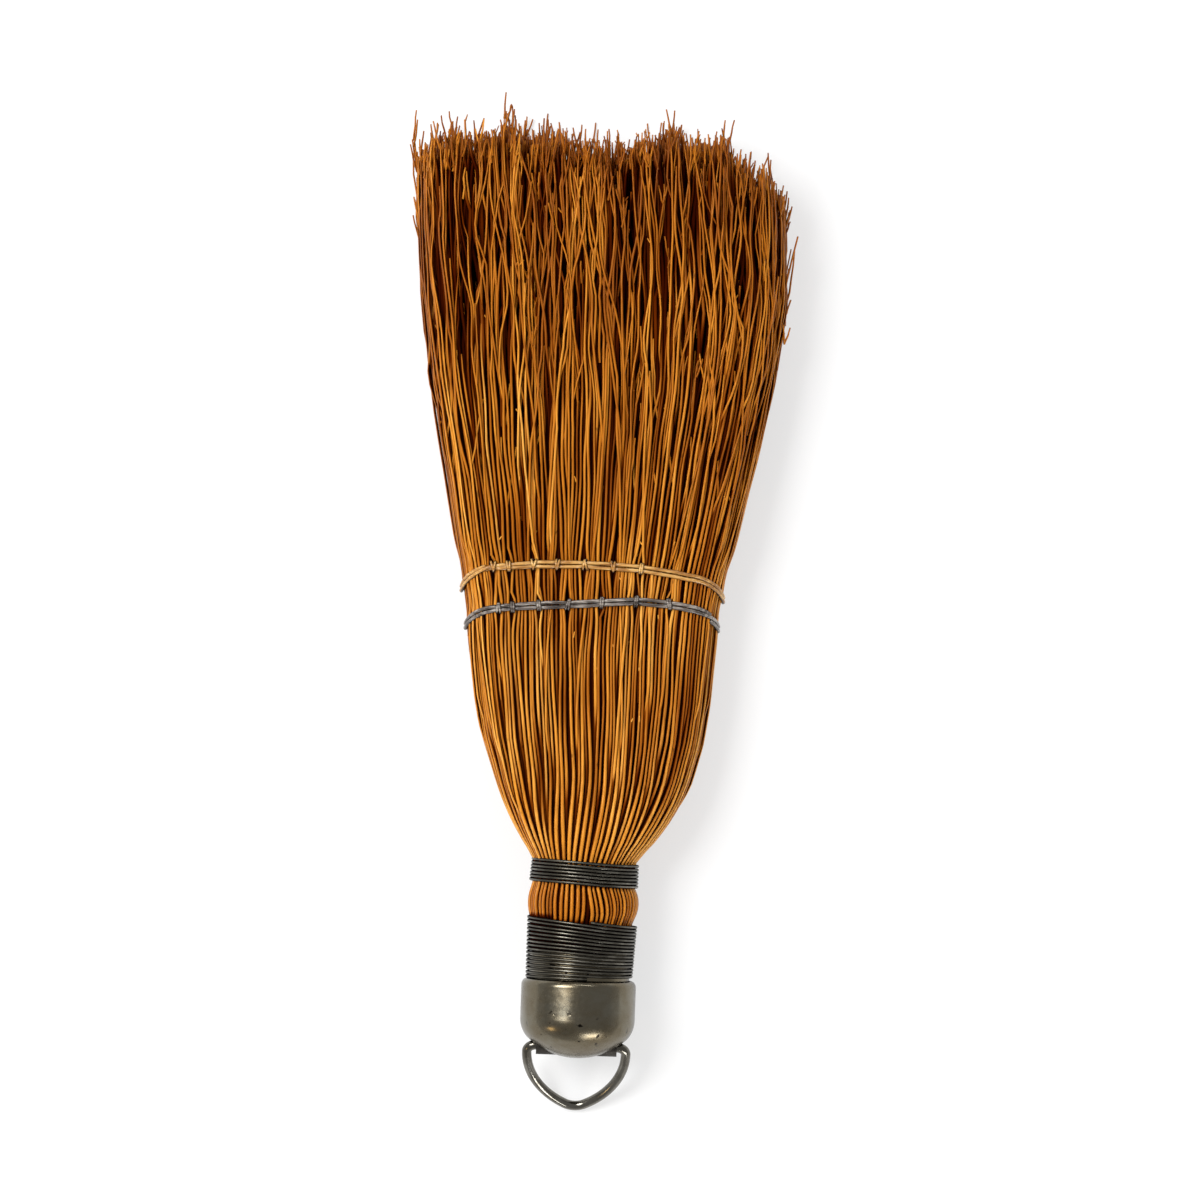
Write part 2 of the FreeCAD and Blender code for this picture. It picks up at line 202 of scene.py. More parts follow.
# Twigs on straws: start above the neck, lean aside, bend back toward the tips, lengths
side_twig = dict(start=104, lean=0.17, bend=0.6, lengths=(8, 30))
fork = dict(start=140, lean=0.32, bend=0.4, lengths=(4, 9))
seed_stub = dict(start=40, lean=0.7, bend=0.1, lengths=(1.2, 2.4))
SIDE_TWIGS = 1.3
TWIG_POINTS = 5
TWIG_SIDES = 6
TWIG_WANDER = 0.06
SHORTEST_TWIG = 4.0
TWIG_PAST_END = 3
TWIG_RADII = (0.28, 0.38)
TWIG_END_SHARE = 0.65
LEAN_SHARES = (0.6, 1.3)
LEAN_DEEP_SHARE = 0.7
MOST_FORKS = 2
FORK_BELOW_END = 7
FORK_RADIUS = 0.33
SEED_STUBS = 0.4
STUB_DEPTH = 0.6
STUB_RADIUS = 0.26
STUB_PALER = 0.2
FEWEST_ROOTS = 3

# Straws inside the fan: how many, and where they come up
inside_groups = (
    dict(count=600, rise_low=20, rise_high=84),
    dict(count=1500, rise_low=130, rise_high=165),
)
INSIDE_INSET = 2.6
INSIDE_MARGIN = 3.2
INSIDE_DEPTH_POWER = 0.8
INSIDE_WANDER_SHARE = 0.004
INSIDE_RADII = (0.36, 0.52)

# Straws that cross others: how many, where they come up, how far round the girth and along they go
crossing_groups = (
    dict(count=64, rise_low=4, rise_high=90, drift_share=0.034, length=90),
    dict(count=90, rise_low=98, rise_high=170, drift_share=0.030, length=60),
)
CROSSING_INSET = 1.1
CROSSING_LIFT = 1.35
CROSSING_RISE = 14
CROSSING_PRESS = 0.7
CROSSING_HIDDEN = 8
CROSSING_RADII = (0.34, 0.46)

# Straws that stand off the edges of the fan: x and y of the lower end, x and y of the tip
loose_straws = (
    (-53.0, 86.0, -58.6, 141.5),
    (-51.5, 70.0, -57.6, 122.0),
    (49.0, 62.0, 57.6, 115.0),
    (47.0, 48.0, 56.2, 96.0),
    (46.0, 42.0, 54.6, 86.0),
    (50.0, 84.0, 54.4, 124.0),
)
EDGE_POINTS = 9
EDGE_SWAY = 0.8
EDGE_CURL_POWER = 1.6
EDGE_DEEP = 3
EDGE_RISE = 2
EDGE_OUTWARD = (0.6, 0.8)
EDGE_RADII = (0.42, 0.26)
EDGE_TWIGS = 0.5

# Sewn rows: height across the flat of the fan and at its edges, edges, stitches left to right, knot
rows = {
    "lower": dict(
        x=(-28.0, -18.0, -7.0, 13.0, 23.0, 28.0), y=(0.6, 1.6, 2.4, 4.0, 3.5, 2.7),
        left=-37.8, right=38.0, left_y=-5.2, right_y=-3.4,
        stitches=(-28.0, -23.8, -16.0, -7.2, 2.8, 13.1, 23.0), knot=31.0),
    "upper": dict(
        x=(-28.0, -17.0, -2.6, 14.2, 25.1, 28.0), y=(12.9, 14.0, 14.4, 13.8, 12.3, 11.7),
        left=-39.4, right=39.2, left_y=6.0, right_y=5.2,
        stitches=(-30.0, -25.4, -18.0, -10.9, -2.7, 5.8, 14.2), knot=-27.5),
}
STITCH_PART = 0.75
STITCH_FADE = 4.2
STITCH_SPREAD = 2.4
ROW_PINCH = 0.5
ROW_PINCH_FADE = 5.0


def smooth(values, passes):
    """Values with their corners rounded off."""
    for _ in range(passes):
        inner = values[:-2] / 4 + values[1:-1] / 2 + values[2:] / 4
        values = np.concatenate([values[:1], inner, values[-1:]])
    return values


def ease(value, low, high):
    """Smooth step from 0 to 1 between two values."""
    share = np.clip((value - low) / (high - low), 0, 1)
    return share * share * (3 - 2 * share)


def unit(vectors):
    return vectors / (np.linalg.norm(vectors, axis=-1, keepdims=True) + TINY)


def row_height(row, x):
    """Height of a sewn row on the flat of the fan."""
    return np.interp(x, rows[row]["x"], rows[row]["y"])


dense_y = np.arange(BUTT_Y, NECK_Y + fan_at[-1] + PAST_TIPS, OUTLINE_STEP)
knot_y = np.concatenate([bound_at, NECK_Y + np.array(fan_at)])
row_middle = [np.mean(row["y"]) for row in rows.values()]
row_pinch = sum(ROW_PINCH * np.exp(-((dense_y - y) / ROW_PINCH_FADE) ** 2) for y in row_middle)


def outline_of(bound, fan, pinch):
    return smooth(np.interp(dense_y, knot_y, np.concatenate([bound, fan])), OUTLINE_ROUNDING) - pinch


dense_left = outline_of(bound_left, fan_left, 0)
dense_right = outline_of(bound_right, fan_right, 0)
dense_thick = outline_of(bound_left, fan_thick, row_pinch)


def section_at(y):
    """Middle, half width and half thickness of the bundle at places along it."""
    left = np.interp(y, dense_y, dense_left)
    right = np.interp(y, dense_y, dense_right)
    thick = np.interp(y, dense_y, dense_thick)
    return (right - left) / 2, np.maximum((right + left) / 2, thick), thick


def round_stadium(wide, thick, share):
    """Points at shares of the way round flat-sided ovals, from the right edge over the front."""
    flat = np.maximum(wide - thick, 0)
    arc = math.pi / 2 * thick
    quarter = flat + arc
    way = share % 1 * 4 * quarter
    quadrant = np.floor(way / quarter)
    reach = way - quadrant * quarter
    reach = np.where(quadrant % 2 == 1, quarter - reach, reach)
    on_arc = reach < arc
    turn = np.where(on_arc, reach / thick, math.pi / 2)
    x = flat + thick * np.cos(turn) - np.where(on_arc, 0, reach - arc)
    z = thick * np.sin(turn)
    x = np.where((quadrant == 1) | (quadrant == 2), -x, x)
    z = np.where(quadrant >= 2, -z, z)
    return np.stack([x, z], axis=-1)


# Straws lie side by side in layers, and more of them come up from below as the fan widens
station_y = np.concatenate([np.arange(*run) for run in station_runs])
middle, wide, thick = section_at(station_y)
above_neck = station_y - NECK_Y
wild = ease(above_neck, WILD_FROM, WILD_TO)
stations = len(station_y)


def along_noise(count, spread, knot_count=WANDER_KNOTS):
    """Slow random changes along straws."""
    knots = np.linspace(station_y[0], station_y[-1], knot_count)
    lines = []
    for _ in range(count):
        lines.append(np.interp(station_y, knots, rng.normal(0, spread, knot_count)))
    return smooth(np.array(lines).T, WANDER_ROUNDING).T


def group_shift(share):
    """Share of the girth to shift by, which draws straws into groups with gaps between them."""
    shift = np.zeros_like(share)
    for _ in range(GROUP_WAVES):
        waves = rng.integers(*GROUP_COUNTS)
        slant = rng.uniform(-1, 1) / GROUP_SLANT_LENGTH
        turns = waves * share + slant * station_y[None] + rng.random()
        shift += GROUP_SHARE * np.sin(2 * math.pi * turns)
    return shift


def lane_layer(inset, fill_share):
    """One layer of straws: places about the middle, radii, and which of them come up only in the fan."""
    layer_thick = thick - inset
    layer_girth = 4 * (wide - thick) + 2 * math.pi * layer_thick
    neck = np.searchsorted(station_y, NECK_Y)
    needed = layer_girth / (STRAW_PITCH + (LOOSE_PITCH - STRAW_PITCH) * wild)
    needed = np.maximum.accumulate(needed[neck:])
    count = int(needed[-1])
    neck_count = int(layer_girth[neck] / NECK_STRAW_PITCH)
    turn_to_rise = np.argsort(np.argsort(np.arange(count) * GOLDEN_SHARE % 1))
    rise = np.interp(turn_to_rise, needed, above_neck[neck:])
    rise[turn_to_rise < neck_count] = 2 * above_neck[0]
    present = ease(above_neck[None], rise[:, None], rise[:, None] + RISE_LENGTH)
    width = rng.uniform(*WIDTH_SHARES, count)[:, None]
    weight = present * width + TINY
    lane = layer_girth / weight.sum(0)
    share = (np.cumsum(weight, axis=0) - weight / 2) / weight.sum(0) + rng.random()
    share = share + along_noise(count, LANE_WANDER_SHARE) / count + group_shift(share)
    depth = inset + (1 - present) * LAYER_STEP + np.abs(along_noise(count, LANE_DEEP))
    places = round_stadium(wide[None] - depth, thick[None] - depth, share)
    radii = fill_share / 2 * lane * width * (RISING_SHARE + (1 - RISING_SHARE) * present)
    return places, radii, turn_to_rise >= neck_count


def inside_layer(count, rise_low, rise_high):
    """Straws that come up inside the fan and fill it out to the tips."""
    depth_share = rng.random(count)[:, None] ** INSIDE_DEPTH_POWER
    depth = INSIDE_INSET + depth_share * (thick[None] - INSIDE_MARGIN)
    share = (np.arange(count) * GOLDEN_SHARE)[:, None] + along_noise(count, INSIDE_WANDER_SHARE)
    places = round_stadium(wide[None] - depth, thick[None] - depth, share)
    radii = np.repeat(rng.uniform(*INSIDE_RADII, count)[:, None], stations, axis=1)
    return places, radii, rng.uniform(rise_low, rise_high, count)


def crossing_layer(count, rise_low, rise_high, drift_share, length):
    """Straws that come up between two heights, lie over the others and cross a few of them."""
    rise = rng.uniform(rise_low, rise_high, count)[:, None]
    drift = rng.uniform(-drift_share, drift_share, count)[:, None]
    drift = drift * ease(above_neck[None], rise, rise + length)
    share = rng.random(count)[:, None] + drift
    under_rows = sum(np.exp(-((station_y - y) / ROW_PINCH_FADE) ** 2) for y in row_middle)
    lift = CROSSING_LIFT * ease(above_neck[None], rise, rise + CROSSING_RISE)
    depth = CROSSING_INSET - lift + CROSSING_PRESS * under_rows[None]
    places = round_stadium(wide[None] - depth, thick[None] - depth, share)
    radii = np.repeat(rng.uniform(*CROSSING_RADII, count)[:, None], stations, axis=1)
    return places, radii, rise[:, 0] - CROSSING_HIDDEN


tip_waves = [(rng.uniform(*TIP_WAVE_RATES), 2 * math.pi * rng.random()) for _ in range(TIP_WAVES)]


def tip_height(x):
    """Where straws end: near the wavy line of the tips, some of them well short of it."""
    count = len(x)
    waves = sum(TIP_WAVE * np.sin(rate * x + start) for rate, start in tip_waves)
    line = np.interp(x, tip_x, tip_y) + waves
    short = rng.exponential(TIP_SHORT, count)
    short = short + BROKEN_SHORT * rng.random(count) * (rng.random(count) < BROKEN_SHARE)
    return line - short + TALL_TIP * rng.random(count) * (rng.random(count) < TALL_SHARE)


def taper(y, end):
    """Share of a straw's thickness left at heights along it."""
    loose_y = NECK_Y + WILD_FROM
    grown = np.clip((y - loose_y) / np.maximum(end - loose_y, 1), 0, 1)
    pointed = ease(y, end - POINT_LENGTH, end)
    return (1 - TIP_LOSS_SHARE * grown ** TAPER_POWER) * (1 - POINT_LOSS_SHARE * pointed)


def from_rib(points):
    """How far points lie from the middle line of their section, as vectors and as lengths."""
    flat = np.maximum(wide - thick, 0)
    rib = np.clip(points[..., 0], -flat, flat)
    off = points - np.stack([rib, np.zeros_like(rib)], axis=-1)
    return off, np.sqrt((off ** 2).sum(-1)) + TINY


def part_at_stitches(places):
    """Part the straws where a stitch goes through them."""
    for row, facts in rows.items():
        for x in facts["stitches"]:
            near_row = np.exp(-((station_y - row_height(row, x)) / STITCH_FADE) ** 2)
            aside = places[..., 0] + middle - x
            near_stitch = np.exp(-np.abs(aside) / STITCH_SPREAD)
            places[..., 0] += STITCH_PART * np.sign(aside) * near_row * near_stitch


def slant_at_waist(places):
    """Turn the straws on the front right aside at the waist, away from those on the left."""
    neck = np.searchsorted(station_y, neck_low[1])
    angle = np.arctan2(places[:, neck, 1], places[:, neck, 0])
    turned = np.where((angle > 0) & (angle < SLANT_END), ease(angle, SLANT_FROM, SLANT_TO), 0)
    unshaded = 1 - ease(station_y, handle_high[1] - SLANT_BELOW, neck_low[1] + SLANT_ABOVE)
    turn = -WAIST_TURN * turned[:, None] * unshaded[None]
    x = places[..., 0].copy()
    places[..., 0] = x * np.cos(turn) - places[..., 1] * np.sin(turn)
    places[..., 1] = x * np.sin(turn) + places[..., 1] * np.cos(turn)


def stray(places):
    """Add leaning, wandering and small kinks toward the tips, and keep straws near the outline."""
    count = len(places)
    for _ in range(LEAN_WAVES):
        waves = np.sin(places[:, -1, 0] / rng.uniform(*LEAN_LENGTHS) + 2 * math.pi * rng.random())
        places[..., 0] += LEAN_WAVE * waves[:, None] * ease(above_neck, LEAN_FROM, fan_at[-1])[None]
    step = np.gradient(station_y)
    sway = [along_noise(count, spread, STRAY_KNOTS) for spread in (STRAY_ASIDE, STRAY_DEEP)]
    places += np.stack(sway, axis=-1) * wild[None, :, None]
    kinked = rng.random((count, stations, 1)) < KINKED_SHARE
    kink = kinked * rng.normal(0, KINK_SLOPE, (count, stations, 2))
    kink[:, 1:] += KINK_LASTING_SHARE * kink[:, :-1]
    kink[..., 1] *= KINK_DEEP_SHARE
    places += np.cumsum(kink * (wild * step)[None, :, None], axis=1)
    off, distance = from_rib(places)
    over = np.clip(distance - thick - STRAY_MARGIN, 0, None)
    places -= off * (over / distance)[..., None]


# Map of a piece: a strip for each tube, with the tube's ends at its ends
MAP_MARGIN_SHARE = 0.05
MAP_FILL_SHARE = 0.9
END_MIDDLE_SHARE = 0.45
END_WIDE_SHARE = 0.3
END_LOW_SHARE = 0.002
END_TALL_SHARE = 0.001

# Values on tubes for their materials, and directions that start their rings
REACH_LIMIT_SHARES = (-0.2, 1.1)
PLAIN_TONE = 0.5
FACING_RANGE = (-0.2, 0.95)
ASKEW_UP = (0.11, 0.07, 1.0)
ASKEW_SIDE = (0.3, 0.2, 0.9)


class Bunch:
    """Tubes that make up one piece, with values along them for the material."""

    def __init__(self):
        self.tubes = []

    def add(self, rings, tone, painted_light):
        shape = rings.shape[:2]
        y = rings[:, :, 1]
        values = {
            "tone": np.full(shape, tone),
            "reach": np.clip((y - NECK_Y) / fan_at[-1], *REACH_LIMIT_SHARES),
            "painted_light": np.broadcast_to(painted_light, shape),
        }
        self.tubes.append((rings, values))

    def mesh(self, name):
        """One mesh of all the tubes, each a strip of its own on the map."""
        faces = []
        map_points = []
        start = 0
        strip = 1 / len(self.tubes)
        for number, (rings, values) in enumerate(self.tubes):
            length, sides = rings.shape[:2]
            along, around = np.meshgrid(np.arange(length - 1), np.arange(sides), indexing="ij")
            following = (around + 1) % sides
            quads = np.stack([along * sides + around, along * sides + following,
                              (along + 1) * sides + following, (along + 1) * sides + around], axis=-1)
            faces.extend((quads.reshape(-1, 4) + start).tolist())
            faces.append(list(range(start + sides - 1, start - 1, -1)))
            last = start + (length - 1) * sides
            faces.append(list(range(last, last + sides)))
            left = strip * (number + MAP_MARGIN_SHARE)
            across = strip * MAP_FILL_SHARE / sides
            low = along / (length - 1)
            high = (along + 1) / (length - 1)
            u0 = left + around * across
            u1 = u0 + across
            map_points.append(np.stack([u0, low, u1, low, u1, high, u0, high], axis=-1).reshape(-1))
            turn = 2 * math.pi * np.arange(sides) / sides
            end_u = left + strip * (END_MIDDLE_SHARE + END_WIDE_SHARE * np.cos(turn))
            end_v = END_LOW_SHARE + END_TALL_SHARE * np.sin(turn)
            end_map = np.stack([end_u, end_v], axis=-1)
            map_points.append(end_map[::-1].reshape(-1))
            end_map[:, 1] = 1 - end_map[:, 1]
            map_points.append(end_map.reshape(-1))
            start += length * sides
        mesh = bpy.data.meshes.new(name)
        verts = np.concatenate([rings.reshape(-1, 3) for rings, values in self.tubes]) * MM
        mesh.from_pydata(verts.tolist(), [], faces)
        for label in ("tone", "reach", "painted_light"):
            layer = mesh.attributes.new(label, "FLOAT", "POINT")
            numbers = np.concatenate([values[label].reshape(-1) for rings, values in self.tubes])
            layer.data.foreach_set("value", numbers.astype(np.float32))
        layer = mesh.uv_layers.new(name="OFBake")
        layer.data.foreach_set("uv", np.concatenate(map_points).astype(np.float32))
        mesh.polygons.foreach_set("use_smooth", np.ones(len(mesh.polygons), bool))
        mesh.update()
        return mesh


def straight_circle(points, sides):
    """Directions round a nearly straight tube."""
    heading = unit(points[-1] - points[0])
    across = unit(np.cross(ASKEW_UP, heading))
    upward = np.cross(heading, across)
    turn = 2 * math.pi * np.arange(sides)[:, None] / sides
    return np.cos(turn) * across + np.sin(turn) * upward


def straight_rings(points, radii, circle):
    return points[:, None] + np.asarray(radii)[:, None, None] * circle[None]


def swept_rings(points, radius, sides, lobes=0, lobe_share=0.0, lay=1.0):
    """Rings of a tube that bends freely, with twisted lobes where it is a laid strand."""
    heading = unit(np.gradient(points, axis=0))
    across = unit(np.cross(heading[0], ASKEW_SIDE))
    lengths = np.concatenate([[0], np.cumsum(np.linalg.norm(np.diff(points, axis=0), axis=1))])
    turn = 2 * math.pi * np.arange(sides) / sides
    rings = []
    for place, forward, length in zip(points, heading, lengths):
        across = unit(across - forward * across.dot(forward))
        upward = np.cross(forward, across)
        size = radius * (1 + lobe_share * np.cos(lobes * turn - 2 * math.pi * length / lay))
        circle = np.cos(turn)[:, None] * across + np.sin(turn)[:, None] * upward
        rings.append(place + size[:, None] * circle)
    return np.array(rings)


def facing_out(rings, path, outward):
    """How far the surface of a tube faces outward from the bundle, from 0 to 1."""
    facing = (unit(rings - path[:, None]) * unit(outward)[:, None]).sum(-1)
    return ease(facing, *FACING_RANGE)


def painted_light_of(circle, outward, depth, loose, at_tip):
    """How much painted light a straw's surface gets: painted shade, most in the grooves and under other
    straws.
    """
    facing = circle[None, :, 0] * outward[:, None, 0] + circle[None, :, 2] * outward[:, None, 1]
    narrower = LOOSE_CROWN * loose[:, None]
    crown = ease(facing, CROWN_FROM + narrower, CROWN_TO + narrower)
    painted_light = crown * np.exp(-depth / (DEPTH_FADE * (1 + LOOSE_FADE * loose)))[:, None]
    return painted_light + (1 - painted_light) * (TIP_OPEN_SHARE * at_tip)[:, None]


def leaning(lean):
    """A direction toward the tips that leans aside by about the given slope."""
    aside = rng.uniform(0, 2 * math.pi)
    slope = lean * rng.uniform(*LEAN_SHARES)
    return unit(np.array([slope * math.cos(aside), 1.0, LEAN_DEEP_SHARE * slope * math.sin(aside)]))


def add_twig(bunch, kind, root, length, radius, tone, outward, depth):
    """A thin twig that leaves its straw and bends back toward the tips."""
    steps = np.linspace(0, 1, TWIG_POINTS)
    back = steps[:, None] * kind["bend"]
    curve = unit(leaning(kind["lean"]) * (1 - back) + np.array([0, 1, 0]) * back)
    curve += rng.normal(0, TWIG_WANDER, curve.shape)
    way = np.concatenate([np.zeros((1, 3)), np.cumsum(curve[:-1], axis=0)])
    points = root + way * length / (TWIG_POINTS - 1)
    points[:, 2] = np.maximum(points[:, 2], radius)
    circle = straight_circle(points, TWIG_SIDES)
    at_tip = (1 + steps) / 2
    facing = np.repeat(outward[None], TWIG_POINTS, axis=0)
    painted_light = painted_light_of(circle, facing, np.full(TWIG_POINTS, depth), np.ones(TWIG_POINTS), at_tip)
    radii = radius * np.linspace(1, TWIG_END_SHARE, TWIG_POINTS)
    bunch.add(straight_rings(points, radii, circle), tone, painted_light)


def add_straw(bunch, points, radii, tone, outward, depth, loose, sides, side_twigs):
    """A straw with its side twigs, fork and seed stubs."""
    points[:, 2] = np.maximum(points[:, 2], radii + FLOOR_GAP)
    circle = straight_circle(points, sides)
    end_y = points[-1, 1]
    at_tip = ease(points[:, 1], end_y - TIP_OPEN_LENGTH, end_y) * loose
    painted_light = painted_light_of(circle, outward, depth, loose, at_tip)
    bunch.add(straight_rings(points, radii, circle), tone, painted_light)
    high = np.flatnonzero(points[:, 1] > NECK_Y + side_twig["start"])
    if len(high) > FEWEST_ROOTS:
        for _ in range(rng.poisson(side_twigs)):
            root = rng.choice(high[:-1])
            longest = max(SHORTEST_TWIG, end_y - points[root, 1] + TWIG_PAST_END)
            length = min(rng.uniform(*side_twig["lengths"]), longest)
            radius = rng.uniform(*TWIG_RADII)
            add_twig(bunch, side_twig, points[root], length, radius, tone, outward[root], depth[root])
    if side_twigs and end_y > NECK_Y + fork["start"]:
        for _ in range(rng.integers(0, MOST_FORKS + 1)):
            root = points[-1] - np.array([0, rng.uniform(0, FORK_BELOW_END), 0])
            length = rng.uniform(*fork["lengths"])
            add_twig(bunch, fork, root, length, FORK_RADIUS, tone, outward[-1], depth[-1])
    outside = np.flatnonzero((points[:, 1] > NECK_Y + seed_stub["start"]) & (depth < STUB_DEPTH))
    if len(outside) >= FEWEST_ROOTS:
        for _ in range(rng.poisson(SEED_STUBS)):
            root = rng.choice(outside)
            length = rng.uniform(*seed_stub["lengths"])
            paler = tone + STUB_PALER
            add_twig(bunch, seed_stub, points[root], length, STUB_RADIUS, paler, outward[root], 0)


def straw_side(x, z, layer):
    """Name of the piece that a straw belongs to."""
    if layer == "inside":
        return "inside_stalks"
    if x > SHOULDER_X:
        return "right_shoulder_stalks"
    if x < -SHOULDER_X:
        return "left_shoulder_stalks"
    side = "front" if z > 0 else "back"
    return f"{side}_{layer}_stalks"


bunches = {}


def lay_straws(places, radii, layers, starts, tone, sides_round, twigs):
    """Turn places of straws into tubes in the bunches that they belong to."""
    count = len(places)
    layers = np.broadcast_to(layers, count)
    starts = np.broadcast_to(starts, count)
    tones = np.clip(rng.normal(tone, TONE_SPREAD, count), LEAST_TONE, 1)
    sewn = np.searchsorted(station_y, rows["lower"]["y"][0])
    sides = [straw_side(x, z, layer) for (x, z), layer in zip(places[:, sewn], layers)]
    stray(places)
    end = tip_height(places[:, -1, 0] + middle[-1])
    radii = radii * taper(station_y[None], end[:, None])
    off, distance = from_rib(places)
    outward = off / distance[..., None]
    to_tip = np.interp(places[..., 0] + middle, tip_x, tip_y) - station_y
    most_depth = TIP_DEPTH + DEPTH_GAIN * ease(to_tip, 0, DEPTH_GAIN_LENGTH)
    depth = np.clip(thick - radii - distance, 0, most_depth)
    handle_y = station_y - HANDLE_LEAN * places[..., 0]
    neck_y = station_y - NECK_LEAN * places[..., 0]
    under_handle = handle_y < handle_high[1] - HANDLE_COVER
    under_neck = (neck_y > neck_low[1] + NECK_COVER_LOW) & (neck_y < neck_high[1] - NECK_COVER_HIGH)
    # Painted shade under the windings: straws there count as deeper, so they show dark between the wire's
    # turns
    depth += HIDDEN_DEPTH * (under_handle | under_neck)
    for number, side in enumerate(sides):
        kept = np.flatnonzero((station_y < end[number] + STATION_STEP) & (above_neck >= starts[number]))
        if len(kept) < FEWEST_STATIONS:
            continue
        points = np.stack([places[number, kept, 0] + middle[kept], station_y[kept],
                           places[number, kept, 1] + AXIS_Z], axis=-1)
        last_step = points[-1] - points[-2]
        step_share = np.clip((end[number] - points[-2, 1]) / last_step[1], LEAST_STEP_SHARE, 1)
        points[-1] = points[-2] + last_step * step_share
        bunch = bunches.setdefault(side, Bunch())
        add_straw(bunch, points, radii[number, kept], tones[number], outward[number, kept],
                  depth[number, kept], wild[kept], sides_round, twigs)


def bundle_straws():
    """Three layers from the outside in, then straws inside the fan and straws that cross."""
    whole = BUTT_Y - NECK_Y
    places, radii, rising = lane_layer(SURFACE_INSET, FILL_SHARE - LOOSE_GAP_SHARE * wild)
    part_at_stitches(places)
    slant_at_waist(places)
    layers = np.where(rising, "under", "cover")
    lay_straws(places, radii, layers, whole, COVER_TONE, STRAW_SIDES, SIDE_TWIGS)
    places, radii, rising = lane_layer(SURFACE_INSET + LAYER_STEP, INNER_FILL_SHARE)
    lay_straws(places, radii, "under", whole, UNDER_TONE, STRAW_SIDES, SIDE_TWIGS / 2)
    places, radii, rising = lane_layer(SURFACE_INSET + 2 * LAYER_STEP, INNER_FILL_SHARE)
    lay_straws(places, radii, "inside", 0, INSIDE_TONE, INSIDE_SIDES, 0)
    for group in inside_groups:
        places, radii, starts = inside_layer(**group)
        lay_straws(places, radii, "inside", starts, INSIDE_TONE, INSIDE_SIDES, 0)
    for group in crossing_groups:
        places, radii, starts = crossing_layer(**group)
        part_at_stitches(places)
        lay_straws(places, radii, "cover", starts, COVER_TONE, STRAW_SIDES, SIDE_TWIGS)


def edge_straws():
    """Straws that have come loose along the edges."""
    for low_x, low_y, tip_at_x, tip_at_y in loose_straws:
        share = np.linspace(0, 1, EDGE_POINTS)
        bend = np.sin(share * math.pi) * rng.normal(0, EDGE_SWAY)
        x = low_x + (tip_at_x - low_x) * share ** EDGE_CURL_POWER + bend
        y = low_y + (tip_at_y - low_y) * share
        z = AXIS_Z + rng.uniform(-EDGE_DEEP, EDGE_DEEP) + EDGE_RISE * share
        points = np.stack([x, y, z], axis=-1)
        side = "left_shoulder_stalks" if low_x < 0 else "right_shoulder_stalks"
        outward_x, outward_z = EDGE_OUTWARD
        outward = np.array([[math.copysign(outward_x, low_x), outward_z]] * EDGE_POINTS)
        radii = np.linspace(*EDGE_RADII, EDGE_POINTS)
        add_straw(bunches[side], points, radii, COVER_TONE, outward, np.zeros(EDGE_POINTS),
                  np.ones(EDGE_POINTS), STRAW_SIDES, EDGE_TWIGS)


bundle_straws()
edge_straws()


def make_piece(name, mesh, material, replaced):
    piece = bpy.data.objects.new(name, mesh)
    bpy.context.scene.collection.objects.link(piece)
    mesh.materials.append(material)
    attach(piece, BROOM)
    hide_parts(*replaced)


def tube_piece(name, node, rings, painted_light, material):
    bunch = Bunch()
    bunch.add(rings, PLAIN_TONE, painted_light)
    make_piece(name, bunch.mesh(name), material, [node])


